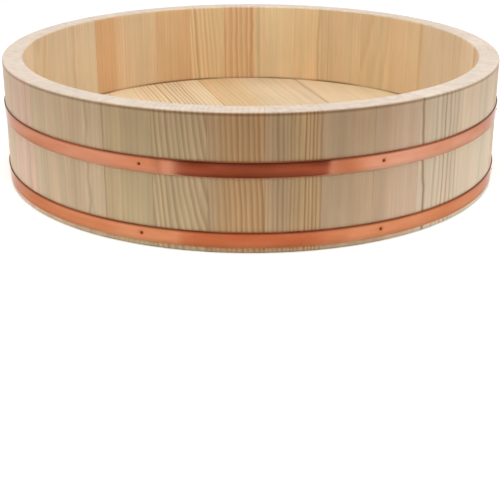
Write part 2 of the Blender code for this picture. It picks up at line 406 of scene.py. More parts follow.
# Painted light: a paler line below each hoop, which cancels the hoop's shadow on the wood
BELOW_HOOP_LIGHT_TINT = (1.22, 1.17, 1.13)
BELOW_HOOP_LIGHT_REACH = 2.5 * MM
# Painted shade: a dark line under the rim's rounded outer edge
RIM_SHADE_TINT = (0.60, 0.54, 0.49)
RIM_SHADE_DROP = 1.6 * MM
RIM_SHADE_REACH = 1.5 * MM

# Painted shade: a dark line in the corner where the floor meets the wall
CORNER_SHADE_TINT = (0.42, 0.30, 0.21)
CORNER_REACH = 2.0 * MM
CORNER_LUMP = 60 * MM
CORNER_SPAN = (0.35, 0.6)
CORNER_LEAST = 0.3

# End grain of the rim
END_DEPTH = 0.9 * MM
END_SHARE = 0.86
END_DARK = "#C2B1A4"
END_PALE = "#D8C9BA"
END_MOTTLE_MM = (6, 6, 12)
END_MOTTLE_SPAN = (0.22, 0.66)
END_RING_TINT = (0.95, 0.935, 0.92)
END_STAVE_MM = (300, 300, 300)
END_STAVE_SWING = 0.05
# Painted highlight along the rim's outer edge
END_EDGE_HIGHLIGHT_TINT = (1.09, 1.09, 1.09)
END_EDGE_HIGHLIGHT_REACH = 3.0 * MM

# Surface
WOOD_ROUGHNESS = (0.50, 0.68)
WOOD_RING_RELIEF = 0.6
WOOD_BUMP = 0.35
WOOD_BUMP_DEPTH = 0.12 * MM
WOOD_IOR = 1.45
WOOD_SHEEN = 0.15
WOOD_SHEEN_ROUGHNESS = 0.4


def ring_depth(tree, fibre_place):
    """How deep in the dark summer wood a point lies, 0 to 1: the share of a year past its distance from
    the heart of the log in rings, drifting along the grain, with years of uneven width and strength."""
    ring_place = add(tree, "Attribute", attribute_name="ring_place").outputs["Vector"]
    flat = add(tree, "VectorMath", {0: ring_place, 1: (1, 1, 0)}, operation="MULTIPLY")
    count = add(tree, "VectorMath", {0: flat}, operation="LENGTH").outputs["Value"]
    drift = stretched_noise(tree, fibre_place, RING_DRIFT_MM)
    drifted = add(tree, "Math", {0: drift, 1: RING_DRIFT, 2: count}, operation="MULTIPLY_ADD")
    wobble = stretched_noise(tree, fibre_place, RING_WOBBLE_MM, detail=1.0)
    drifted = add(tree, "Math", {0: wobble, 1: RING_WOBBLE, 2: drifted}, operation="MULTIPLY_ADD")
    widths = add(tree, "TexNoise", {"W": drifted, "Scale": RING_UNEVEN_RATE, "Detail": 1.0},
                 noise_dimensions="1D")
    uneven = add(tree, "Math", {0: widths, 1: RING_UNEVEN, 2: drifted}, operation="MULTIPLY_ADD")
    year = add(tree, "Math", {0: uneven}, operation="FRACT")
    which = add(tree, "Math", {0: uneven}, operation="FLOOR")
    vigour = add(tree, "TexWhiteNoise", {"W": which}, noise_dimensions="1D")
    strength = add(tree, "MapRange", {"Value": vigour, **to_span(RING_LEAST, 1.0)})
    crisp = add(tree, "SeparateXYZ", {0: ring_place}).outputs["Z"]
    start = add(tree, "MapRange", {"Value": crisp, **to_span(*SUMMER_START)})
    rise = add(tree, "MapRange", {"Value": year, **from_span(start, SUMMER_FULL)}, **SMOOTH)
    fall = add(tree, "MapRange", {"Value": year, **from_span(1.0, SUMMER_FALL)}, **SMOOTH)
    late = add(tree, "Math", {0: rise, 1: fall}, operation="MULTIPLY")
    return add(tree, "Math", {0: late, 1: strength}, operation="MULTIPLY")


def grain_tones(tree, colour, fibre, fibre_place):
    """A colour with fibres, streaks and clouds of tone, and a blush that turns from olive to pink."""
    streak = stretched_noise(tree, fibre_place, STREAK_MM)
    cloud = stretched_noise(tree, fibre_place, CLOUD_MM)
    for noise, swing in ((fibre, FIBRE_SWING), (streak, STREAK_SWING), (cloud, CLOUD_SWING)):
        colour = toned(tree, colour, noise, swing)
    blush = stretched_noise(tree, fibre_place, BLUSH_MM)
    share = add(tree, "MapRange", {"Value": blush, **from_span(*BLUSH_SPAN)})
    hue = add(tree, "Mix", {0: share, 6: BLUSH_OLIVE, 7: BLUSH_PINK}, data_type="RGBA")
    return add(tree, "VectorMath", {0: colour, 1: hue.outputs[2]}, operation="MULTIPLY").outputs[0]


def pitch_line(tree, fibre_place):
    """How dark the wandering line of pitch is that some staves have, 0 elsewhere."""
    pitch_place = add(tree, "Attribute", attribute_name="pitch_place").outputs["Vector"]
    part = add(tree, "SeparateXYZ", {0: pitch_place}).outputs
    wander = stretched_noise(tree, fibre_place, PITCH_WANDER_MM)
    wandered = add(tree, "Math", {0: wander, 1: PITCH_WANDER, 2: part["X"]}, operation="MULTIPLY_ADD")
    line = band(tree, wandered, PITCH_WANDER / 2, part["Z"])
    return add(tree, "Math", {0: line, 1: part["Y"]}, operation="MULTIPLY")


def uneven_corner_shade(tree, line):
    """A line of painted shade, made uneven: in places only the least of it is left."""
    place = add(tree, "TexCoord").outputs["Object"]
    lumps = stretched_noise(tree, place, (CORNER_LUMP,) * 3)
    share = add(tree, "MapRange", {"Value": lumps, **from_span(*CORNER_SPAN), **to_span(CORNER_LEAST, 1.0)})
    return add(tree, "Math", {0: line, 1: share}, operation="MULTIPLY")


def wall_place(tree):
    """Height of a point of the wall, and how far below the outside it lies: the radius of the outer cone at
    that height, less the point's own."""
    height, radius = tub_place(tree)
    slope = (RIM_RADIUS - FOOT_RADIUS) / HEIGHT
    surface = add(tree, "Math", {0: height, 1: slope, 2: FOOT_RADIUS}, operation="MULTIPLY_ADD")
    return height, add(tree, "Math", {0: surface, 1: radius}, operation="SUBTRACT")


def wall_weathering_and_shade(tree, colour):
    """Outside, the wall is a darker, browner copy of the inside, which is painted shade, with weathered
    tones, and it darkens towards the rim as painted shade. A dark line of painted shade lies above each hoop,
    a paler line of painted light below it, and a dark line of painted shade under the rim. Inside, a dark
    line of painted shade lies where the floor meets the wall."""
    height, depth = wall_place(tree)
    outside = add(tree, "MapRange", {"Value": depth, **from_span(*SKIN_SPAN)})
    # painted shade: the outside darker and browner than the inside
    colour = tinted(tree, colour, outside, OUTSIDE_SHADE_TINT)
    fibre_place = add(tree, "Attribute", attribute_name="fibre_place").outputs["Vector"]
    weather = stretched_noise(tree, fibre_place, WEATHER_MM, detail=3.0)
    weathered = toned(tree, colour, weather, WEATHER_SWING)
    colour = add(tree, "Mix", {0: outside, 6: colour, 7: weathered}, data_type="RGBA").outputs[2]
    # painted shade: darker towards the rim
    top_shade = add(tree, "MapRange", {"Value": height, **from_span(0.0, HEIGHT)})
    top_shade = add(tree, "Math", {0: top_shade, 1: outside}, operation="MULTIPLY")
    colour = tinted(tree, colour, top_shade, TOP_SHADE_TINT)
    # painted shade above each hoop
    lines = [(HOOP_TOP[hoop], ABOVE_HOOP_SHADE_REACH, ABOVE_HOOP_SHADE_TINT) for hoop in HOOPS]
    # painted light below each hoop
    lines += [(HOOP_BOTTOM[hoop], BELOW_HOOP_LIGHT_REACH, BELOW_HOOP_LIGHT_TINT) for hoop in HOOPS]
    # painted shade under the rim
    lines.append((HEIGHT - RIM_SHADE_DROP, RIM_SHADE_REACH, RIM_SHADE_TINT))
    for middle, reach, tint in lines:
        line = band(tree, height, middle, reach)
        share = add(tree, "Math", {0: line, 1: outside}, operation="MULTIPLY")
        colour = tinted(tree, colour, share, tint)
    inside = add(tree, "Math", {0: 1.0, 1: outside}, operation="SUBTRACT")
    # inside: painted shade in the corner at the floor
    corner = uneven_corner_shade(tree, band(tree, height, FLOOR_TOP, CORNER_REACH))
    corner_shade = add(tree, "Math", {0: corner, 1: inside}, operation="MULTIPLY")
    return tinted(tree, colour, corner_shade, CORNER_SHADE_TINT)


def floor_corner_shade(tree, colour):
    """A line of painted shade round the floor, where it meets the wall."""
    radius = tub_place(tree)[1]
    line = band(tree, radius, FLOOR_RADIUS - GROOVE_DEPTH, CORNER_REACH)
    return tinted(tree, colour, uneven_corner_shade(tree, line), CORNER_SHADE_TINT)


def sawn_rim(tree, colour, late):
    """The end grain on the rim is pale and mottled, with faint arcs of the rings. Each stave has a tone of
    its own there, and a painted highlight makes the outer edge paler."""
    height, depth = wall_place(tree)
    fibre_place = add(tree, "Attribute", attribute_name="fibre_place").outputs["Vector"]
    mottle = stretched_noise(tree, fibre_place, END_MOTTLE_MM, detail=3.0)
    pale = add(tree, "MapRange", {"Value": mottle, **from_span(*END_MOTTLE_SPAN)})
    sawn = add(tree, "Mix", {0: pale, 6: END_DARK, 7: END_PALE}, data_type="RGBA")
    sawn = tinted(tree, sawn.outputs[2], late, END_RING_TINT)
    tone = stretched_noise(tree, fibre_place, END_STAVE_MM, detail=0.0)
    sawn = toned(tree, sawn, tone, END_STAVE_SWING)
    # painted highlight along the outer edge
    edge_highlight = add(tree, "MapRange", {"Value": depth, **from_span(END_EDGE_HIGHLIGHT_REACH, 0.0)})
    sawn = tinted(tree, sawn, edge_highlight, END_EDGE_HIGHLIGHT_TINT)
    share = add(tree, "MapRange", {"Value": height, **from_span(HEIGHT - END_DEPTH, HEIGHT),
                                   **to_span(0.0, END_SHARE)})
    return add(tree, "Mix", {0: share, 6: colour, 7: sawn}, data_type="RGBA").outputs[2]


def softwood(name, weathering_and_shade, end_grain_and_highlight=None):
    """Bare planed softwood: rings, tones and pitch on each piece's own tint, then its weathering, painted
    shade and painted light where it has them, and its end grain with a painted highlight.
    """
    material, tree = new_tree(name)
    fibre_place = add(tree, "Attribute", attribute_name="fibre_place").outputs["Vector"]
    timber = add(tree, "Attribute", attribute_name="timber").outputs
    late = ring_depth(tree, fibre_place)
    fibre = stretched_noise(tree, fibre_place, FIBRE_MM)
    strength = add(tree, "Math", {0: late, 1: timber["Alpha"]}, operation="MULTIPLY")
    colour = tinted(tree, timber["Color"], strength, SUMMER_TINT)
    colour = grain_tones(tree, colour, fibre, fibre_place)
    colour = tinted(tree, colour, pitch_line(tree, fibre_place), PITCH_TINT)
    colour = weathering_and_shade(tree, colour)
    if end_grain_and_highlight:
        colour = end_grain_and_highlight(tree, colour, late)
    roughness = add(tree, "MapRange", {"Value": fibre, **to_span(*WOOD_ROUGHNESS)})
    relief = add(tree, "Math", {0: late, 1: WOOD_RING_RELIEF, 2: fibre}, operation="MULTIPLY_ADD")
    bump = add(tree, "Bump", {"Height": relief, "Strength": WOOD_BUMP, "Distance": WOOD_BUMP_DEPTH})
    shader = add(tree, "BsdfPrincipled", {"Base Color": colour, "Roughness": roughness, "Normal": bump,
                                          "IOR": WOOD_IOR, "Sheen Weight": WOOD_SHEEN,
                                          "Sheen Roughness": WOOD_SHEEN_ROUGHNESS})
    add(tree, "OutputMaterial", {"Surface": shader})
    return material


# Copper

# Rolled strip, rubbed bright. It mirrors what lies around it, softened by fine streaks along the strip, and
# browns in patches. The lower hoop is redder as a painted reflection of the warm shade that it mirrors, the
# lower edges are darker as painted shade and reflection, and the top edges are oxidised dark, with painted
# shade.
# A set of three that ends in MM is a pattern's size along the strip, up it, and from hoop to hoop. Real
# rolling lines are finer than COPPER_STREAK_MM, and are drawn as coarse as they need to show.

COPPER_PALE = "#CC9379"
COPPER_BROWN = "#BE7E60"
COPPER_EDGE_TINT = (0.76, 0.66, 0.62, 1.0)
COPPER_STREAK_MM = (70, 0.35, 1)
COPPER_PATCH_MM = (38, 9, 1)
COPPER_PATCH_SPAN = (0.35, 0.75)
COPPER_ROUGHNESS = (0.03, 0.11)
COPPER_BUMP = 0.3
COPPER_BUMP_DEPTH = 0.02 * MM
# Painted reflection: the lower hoop's copper is made redder for the warm shade that it mirrors
LOWER_HOOP_REFLECTION_TINT = (0.98, 0.84, 0.64)
# Painted shade along the strip's lower edge, tinted towards the wood as a painted reflection of it
LOWER_EDGE_SHADE_TINT = (0.75, 0.87, 0.89)
LOWER_EDGE_SHADE_MM = 3.2
# Dark band at the strip's top edge: oxidised copper, and painted shade of the gap there
OXIDE_AND_SHADE = "#77402A"
OXIDE_AND_SHADE_START_MM = 1.9
OXIDE_AND_SHADE_END_MM = 0.6

# Patches of tarnish on each hoop: the angle from the front and the reach, in degrees, and how strong it is
TARNISH_TINT = (0.84, 0.66, 0.52)
TARNISH = {
    "upper": ((-47, 14, 0.55), (-22, 8.0, 1.0), (19, 5.0, 1.0), (70, 8, 0.5), (104, 11, 0.7), (141, 6, 0.9),
              (176, 9, 0.5), (209, 6, 0.8), (246, 10, 0.6), (281, 7, 0.5)),
    "lower": ((-46, 9, 0.15), (81, 9, 0.3), (126, 12, 0.4), (190, 8, 0.3), (233, 11, 0.4)),
}
STRIP_END_TARNISH = 1.6
TACK_STAIN = 1.3
TACK_STAIN_REACH = 1.7 * MM
STRIP_SHIFT_MM = 900


def rolled_copper(name):
    """Rolled copper strip: streaks, brown patches and tarnish, a lower hoop made redder as painted
    reflection, a lower edge darkened as painted shade and reflection, and a top edge oxidised and darkened by
    painted shade.
    """
    material, tree = new_tree(name)
    strip_place = add(tree, "Attribute", attribute_name="strip_place").outputs["Vector"]
    part = add(tree, "SeparateXYZ", {0: strip_place}).outputs
    streak = stretched_noise(tree, strip_place, COPPER_STREAK_MM)
    patch = stretched_noise(tree, strip_place, COPPER_PATCH_MM, detail=3.0)
    share = add(tree, "MapRange", {"Value": patch, **from_span(*COPPER_PATCH_SPAN)})
    colour = add(tree, "Mix", {0: share, 6: COPPER_PALE, 7: COPPER_BROWN}, data_type="RGBA")
    # painted reflection: the lower hoop redder
    colour = tinted(tree, colour.outputs[2], part["Z"], LOWER_HOOP_REFLECTION_TINT)
    tarnish = add(tree, "Attribute", attribute_name="tarnish").outputs["Fac"]
    colour = tinted(tree, colour, tarnish, TARNISH_TINT)
    # painted shade and reflection of the wood along the lower edge
    low = add(tree, "MapRange", {"Value": part["Y"], **from_span(LOWER_EDGE_SHADE_MM, 0.0)})
    colour = tinted(tree, colour, low, LOWER_EDGE_SHADE_TINT)
    width_mm = (HOOP_TOP["upper"] - HOOP_BOTTOM["upper"]) / MM
    # top edge band: oxidised copper and painted shade
    dark_top_span = from_span(width_mm - OXIDE_AND_SHADE_START_MM, width_mm - OXIDE_AND_SHADE_END_MM)
    edge = add(tree, "MapRange", {"Value": part["Y"], **dark_top_span})
    dark_top = add(tree, "Mix", {0: edge, 6: colour, 7: OXIDE_AND_SHADE}, data_type="RGBA")
    roughness = add(tree, "MapRange", {"Value": streak, **to_span(*COPPER_ROUGHNESS)})
    bump = add(tree, "Bump", {"Height": streak, "Strength": COPPER_BUMP, "Distance": COPPER_BUMP_DEPTH})
    shader = add(tree, "BsdfPrincipled", {"Base Color": dark_top.outputs[2], "Roughness": roughness,
                                          "Normal": bump, "Metallic": 1.0, "Specular Tint": COPPER_EDGE_TINT})
    add(tree, "OutputMaterial", {"Surface": shader})
    return material


# Tacks

# Drawn copper, browned by water: dark and half matt, with fine specks

TACK_DARK = "#582D1D"
TACK_PALE = "#7C462F"
TACK_SPECK = 0.4 * MM
TACK_ROUGHNESS = (0.35, 0.55)


def browned_copper(name):
    """Browned copper wire: specks of paler and rougher metal on a dark brown."""
    material, tree = new_tree(name)
    place = add(tree, "TexCoord").outputs["Object"]
    speck = stretched_noise(tree, place, (TACK_SPECK,) * 3)
    colour = add(tree, "Mix", {0: speck, 6: TACK_DARK, 7: TACK_PALE}, data_type="RGBA")
    roughness = add(tree, "MapRange", {"Value": speck, **to_span(*TACK_ROUGHNESS)})
    shader = add(tree, "BsdfPrincipled", {"Base Color": colour.outputs[2], "Roughness": roughness,
                                          "Metallic": 1.0})
    add(tree, "OutputMaterial", {"Surface": shader})
    return material


# Pins

# Split bamboo, pale and bare, with long fibres along each pin

BAMBOO_DARK = "#C9AE74"
BAMBOO_PALE = "#E2CF9C"
BAMBOO_FIBRE = (18 * MM, 0.35 * MM, 0.35 * MM)
BAMBOO_ROUGHNESS = 0.5
BAMBOO_BUMP = 0.4
BAMBOO_BUMP_DEPTH = 0.05 * MM


def split_bamboo(name):
    """Split bamboo: darker and paler fibres that stand a little proud, turned to run along the pins."""
    material, tree = new_tree(name)
    place = add(tree, "TexCoord").outputs["Object"]
    turned = add(tree, "Mapping", {"Vector": place, "Rotation": (0, 0, -BOARD_TURN)})
    fibre = stretched_noise(tree, turned, BAMBOO_FIBRE)
    colour = add(tree, "Mix", {0: fibre, 6: BAMBOO_DARK, 7: BAMBOO_PALE}, data_type="RGBA")
    bump = add(tree, "Bump", {"Height": fibre, "Strength": BAMBOO_BUMP, "Distance": BAMBOO_BUMP_DEPTH})
    shader = add(tree, "BsdfPrincipled", {"Base Color": colour.outputs[2], "Roughness": BAMBOO_ROUGHNESS,
                                          "Normal": bump})
    add(tree, "OutputMaterial", {"Surface": shader})
    return material


# How each stave and board was sawn

ALL_OVER = 10000


class Pitch(NamedTuple):
    """A line of pitch in a stave. Lengths are in mm."""
    across: float                # where it starts at the foot, from the stave's middle
    strength: float = 0.32       # how dark it is, 0 to 1
    lean: float = 0              # how far it leans across for each mm of height
    half: float = 2.2            # half its width


class Look(NamedTuple):
    """What a stave or board shows. Lengths are in mm from its middle, and left is as the outside shows it."""
    tint: str                    # main tint
    ring: float                  # width of a growth ring
    across: float                # where the heart of the log lies, across
    deep: float                  # and outwards, or upwards from the top of a board
    strength: float              # how dark the rings are, 0 to 1
    lean_across: float = 0       # how far the heart leans across for each mm along the grain
    lean_deep: float = 0         # and how far outwards
    fade: float = 0              # how much the rings fade to the left, or to the right if below 0
    joint: float = 0             # how dark the joint at the left side is
    pitch: Pitch = Pitch(0, 0)   # its line of pitch, none where that has no strength
    focus: float = 0             # where across the rings are strongest
    spread: float = ALL_OVER     # and how far from there they still show
    other: str = ""              # tint of the left side, where it is another one
    split: float = 0             # where across that tint gives way
    blur: float = 17             # and how far either side of there
    crisp: float = 0             # how crisp the rings are, 0 to 1


# Tints of the planed wood
STRAW = "#EEDFC4"
CHALK = "#F2E3C9"
FAWN = "#E6CFAE"
TAN = "#E1C49C"
WHEAT = "#DABF98"
ROSE = "#EBD2B7"
SHELL = "#E1C5A6"
PETAL = "#EFD1B8"
RUSSET = "#E7C392"
SAND = "#E2C69E"
MAIZE = "#E7C89A"
PEACH = "#EDC596"
OLIVE = "#E1CCA3"
LINEN = "#E7D3AB"
AMBER = "#D5A97B"
HONEY = "#DEB88A"
GOLD = "#EBCD9F"
BUFF = "#DFC4A2"
CORN = "#EDD3A8"
CREAM = "#DCC49F"
IVORY = "#E0C9A4"
DOVE = "#D7C09E"
OAT = "#DBBD93"
RYE = "#D6BA8F"
DUN = "#CCB083"
BRAN = "#D5B588"

# Looks of the staves, by the number in the node's name, and of the boards in the order of theirs
STAVE_LOOKS = {
    1: Look(MAIZE, 2.6, 100, -5, 0.85, fade=0.5, pitch=Pitch(-1.5, 0.25), crisp=0.4,
            other=SAND, split=-1, blur=6),
    2: Look(BUFF, 3.2, 8, -75, 0.08, 0.02, 0.05),
    3: Look(ROSE, 3.0, -130, 0, 0.05, other=SHELL, split=-4, blur=12),
    4: Look(CHALK, 4.5, 80, 5, 0.80, pitch=Pitch(-10.5, 0.95, -0.05, 2.0), focus=7, spread=11, crisp=0.6),
    5: Look(STRAW, 4.2, -120, 0, 0.55, focus=-15, spread=6, crisp=0.5),
    6: Look(STRAW, 3.4, 110, 0, 0.16),
    7: Look(FAWN, 2.8, -90, 0, 0.30),
    8: Look(TAN, 3.0, 12, -60, 0.35, 0.0, 0.08),
    9: Look(FAWN, 2.6, 120, 0, 0.28),
    10: Look(DOVE, 3.2, -80, 0, 0.22),
    11: Look(DUN, 2.8, 120, 0, 0.10, other=DOVE, split=11, blur=6),
    12: Look(OAT, 3.0, -110, 0, 0.10),
    13: Look(RYE, 3.4, 15, -60, 0.16, 0.0, 0.06),
    14: Look(OAT, 3.0, 120, 5, 0.10),
    15: Look(GOLD, 3.2, -100, 0, 0.22, fade=-0.8, pitch=Pitch(-6.2), other=OAT, split=-8, blur=3),
    16: Look(CORN, 2.8, 130, 0, 0.07),
    17: Look(PEACH, 5.2, 80, 0, 0.40, pitch=Pitch(-8.0, 0.40), other=CORN, split=-11.5, blur=2.5),
    18: Look(GOLD, 4.2, -70, 0, 0.60, 0.05, fade=0.85),
    19: Look(HONEY, 3.0, 110, 5, 0.15),
    20: Look(WHEAT, 2.8, -120, 0, 0.09),
    21: Look(AMBER, 3.2, 100, 0, 0.14, other=TAN, split=-8.5, blur=7),
    22: Look(DOVE, 3.4, -90, 0, 0.12, pitch=Pitch(11.6, 0.25, 0, 3.6)),
    23: Look(DOVE, 2.8, 90, 0, 0.16),
    24: Look(WHEAT, 3.1, 6, -55, 0.22, 0.0, 0.07),
    25: Look(FAWN, 2.7, -100, 0, 0.32),
    26: Look(TAN, 3.3, 110, 0, 0.30),
    27: Look(FAWN, 2.6, 120, 0, 0.14),
    28: Look(PETAL, 2.8, -130, 10, 0.10, pitch=Pitch(9, 0.25)),
    29: Look(FAWN, 3.4, 140, -20, 0.10),
    30: Look(FAWN, 3.6, -90, -10, 0.14, 0.02, pitch=Pitch(4, 0.35)),
    31: Look(OLIVE, 3.4, 100, -15, 0.17, 0.01, joint=0.25),
    32: Look(LINEN, 3.2, 30, -20, 0.60, 0.0, 0.20),
    33: Look(RUSSET, 3.3, -75, 0, 0.80, -0.05, fade=0.45, other=SAND, split=-10, blur=4),
}
BOARD_LOOKS = (
    Look(CREAM, 3.0, 60, -20, 0.30),
    Look(IVORY, 3.4, -60, -12, 1.00, focus=11, spread=27),
    Look(DOVE, 3.8, 55, -45, 0.30, fade=-0.6, other=BRAN, split=-9, blur=10),
    Look(CREAM, 3.2, -70, -10, 0.16, joint=0.27),
)

# A dark joint's width, in mm, and how much of each colour it takes away
JOINT_MM = 0.7
JOINT_BROWN = np.array([0.72, 0.95, 1.1])

GRAIN_SEED = 11
GRAIN_SHIFT_MM = 500
chance = np.random.default_rng(GRAIN_SEED)


def paint_grain(mesh, across, deep, along, from_left, look):
    """Keep on each point its place in the log, in rings, its place along the fibres, in mm, its tint with
    the strength of the rings there, and its place beside the line of pitch, in mm."""
    across, deep, along, from_left = (axis.ravel() / MM for axis in (across, deep, along, from_left))
    from_heart = np.stack([across - look.across - look.lean_across * along,
                           deep - look.deep - look.lean_deep * along], axis=-1)
    shift = chance.uniform(-GRAIN_SHIFT_MM, GRAIN_SHIFT_MM, 3)
    ring_place = np.column_stack([from_heart / look.ring, look.crisp + 0 * along])
    paint(mesh, "ring_place", "FLOAT_VECTOR", "vector", ring_place)
    paint(mesh, "fibre_place", "FLOAT_VECTOR", "vector", np.stack([across, deep, along], axis=-1) + shift)
    rightness = smooth_step((across / np.abs(across).max() + 1) / 2)
    faded = look.fade * (1 - rightness) if look.fade > 0 else -look.fade * rightness
    strength = look.strength * (1 - faded) * np.exp(-((across - look.focus) / look.spread)**2)
    tint, other = (np.array(to_linear(colour)[:3]) for colour in (look.tint, look.other or look.tint))
    tint = other + (tint - other) * smooth_step(((across - look.split) / look.blur + 1) / 2)[:, None]
    joint = look.joint * (from_left < JOINT_MM)
    timber = np.column_stack([tint * (1 - joint[:, None] * JOINT_BROWN), strength])
    paint(mesh, "timber", "FLOAT_COLOR", "color", timber)
    apart = across - look.pitch.across - look.pitch.lean * along
    pitch_place = np.stack([apart, look.pitch.strength + 0 * apart, look.pitch.half + 0 * apart], axis=-1)
    paint(mesh, "pitch_place", "FLOAT_VECTOR", "vector", pitch_place)


# Staves

def wall_outline():
    """Section of the wall as radius and height, clockwise from the rim's inner edge: round edges at the
    rim and foot, and inside a groove that holds the floor."""
    rim_outside, rim_inside = outer_radius(HEIGHT), outer_radius(HEIGHT) - WALL
    foot_outside, foot_inside = outer_radius(0), outer_radius(0) - WALL
    groove = FLOOR_RADIUS + GROOVE_ROOM
    groove_bottom, groove_top = FLOOR_BOTTOM - GROOVE_ROOM, FLOOR_TOP + FLOOR_GAP
    inside_bottom, inside_top = (outer_radius(z) - WALL for z in (groove_bottom, groove_top))
    rim_z, foot_z = HEIGHT - RIM_ROUND, FOOT_ROUND
    return loop(
        (arc((rim_inside + RIM_ROUND, rim_z), RIM_ROUND, 180, 90, ROUND_STEPS), RIM_STEPS),
        (arc((rim_outside - RIM_ROUND, rim_z), RIM_ROUND, 90, 0, ROUND_STEPS), WALL_STEPS),
        (arc((foot_outside - FOOT_ROUND, foot_z), FOOT_ROUND, 0, -90, ROUND_STEPS), FOOT_STEPS),
        (arc((foot_inside + FOOT_ROUND, foot_z), FOOT_ROUND, -90, -180, ROUND_STEPS), UNDER_STEPS),
        ((inside_bottom, groove_bottom), 1),
        ((groove, groove_bottom), GROOVE_STEPS),
        ((groove, groove_top), 1),
        ((inside_top, groove_top), WALL_STEPS),
    )


def stave(node, look, material):
    """A stave: the wall's section carried round the axis between two radial sides, shrunk by a quarter
    round at each side, where the edges are eased."""
    middle, half = angle_span(node)
    half_width = half * RIM_RADIUS + (SOLID_GAP - SEAM_GAP) / 2
    inner = np.linspace(JOINT_END, half_width, HALF_STAVE_COLUMNS)
    from_side = np.concatenate([ARRIS * np.array(ARRIS_SHARES), [JOINT_START], inner])
    across = np.concatenate([from_side - half_width, (half_width - from_side)[-2::-1]])
    rounded = np.clip(ARRIS - (half_width - np.abs(across)), 0, ARRIS)
    inset = ARRIS - np.sqrt(ARRIS**2 - rounded**2)
    outline = wall_outline()
    section = outline[None] - inset[:, None, None] * outward(outline)[None]
    radius, height = section[..., 0], section[..., 1]
    turn = across[:, None] / RIM_RADIUS + 0 * radius
    mesh = swept_mesh("fine_" + node, round_axis(radius, middle + turn, height))
    from_left = across[:, None] + half_width + 0 * radius
    paint_grain(mesh, radius * turn, radius - (RIM_RADIUS - WALL / 2), height, from_left, look)
    place_piece(mesh, material, node)


# Floor boards

def board(node, look, material):
    """A floor board: a rounded bar's section carried along the board, and stretched at each place across
    to the half chord of the round floor there."""
    points = node_points(node)
    cos, sin = math.cos(BOARD_TURN), math.sin(BOARD_TURN)
    sideways = points[:, 0] * cos + points[:, 1] * sin
    widest = BOARD_END * FLOOR_RADIUS
    left, right = np.clip([sideways.min(), sideways.max()], -widest, widest)
    outline = rounded_bar(left, right, FLOOR_BOTTOM, FLOOR_TOP, BOARD_ARRIS, BOARD_ARRIS_STEPS,
                          BOARD_SIDE_STEPS)
    share = np.linspace(-1, 1, BOARD_ROWS)[:, None]
    across = outline[None, :, 0] + 0 * share
    along = share * np.sqrt(FLOOR_RADIUS**2 - across**2)
    height = outline[None, :, 1] + 0 * share
    rings = np.stack([across * cos - along * sin, across * sin + along * cos, height], axis=-1)
    mesh = swept_mesh("fine_" + node, rings)
    paint_grain(mesh, across - (left + right) / 2, height - FLOOR_TOP, along, across - left, look)
    place_piece(mesh, material, node)


# Hoops and their tacks

def tack_places(hoop):
    """Angle and height of each tack of a hoop."""
    nodes = [f"tack_{hoop}_{number}" for number in range(1, TACK_COUNT + 1)]
    return np.array([(angle_span(node)[0], node_points(node)[:, 2].mean()) for node in nodes])


def strip_gap(share):
    """Gap between wall and strip: it lies on the wall at its lower edge and stands off at its upper edge."""
    return STRIP_SEAT + (STRIP_STAND_OFF - STRIP_SEAT) * share


def strip_turns(lap_middle, places):
    """Angles along a hoop: a full turn and the lap, closer together at the tacks."""
    lap = LAP_LENGTH / RIM_RADIUS
    start, end = lap_middle - lap / 2, lap_middle + lap / 2 + 2 * np.pi
    span = DIMPLE_SPAN / RIM_RADIUS
    near = places[:, :1] + np.linspace(-span, span, DIMPLE_STEPS)
    near = np.concatenate([near.ravel() + turns * 2 * np.pi for turns in (-1, 0, 1)])
    turns = np.concatenate([np.linspace(start, end, STRIP_STEPS), near])
    return np.unique(turns[(turns >= start) & (turns <= end)])


def strip_tarnish(hoop, turns, apart):
    """Tarnish of a hoop: a bell of each patch along it, the cut end, and a bell round each tack."""
    patches = sum(strength * np.exp(-(wrapped(turns - math.radians(place)) / math.radians(reach))**2)
                  for place, reach, strength in TARNISH[hoop])
    patches[-1] = STRIP_END_TARNISH
    stains = TACK_STAIN * np.exp(-(apart / TACK_STAIN_REACH)**2).sum(axis=-1)
    return patches[:, None] + stains


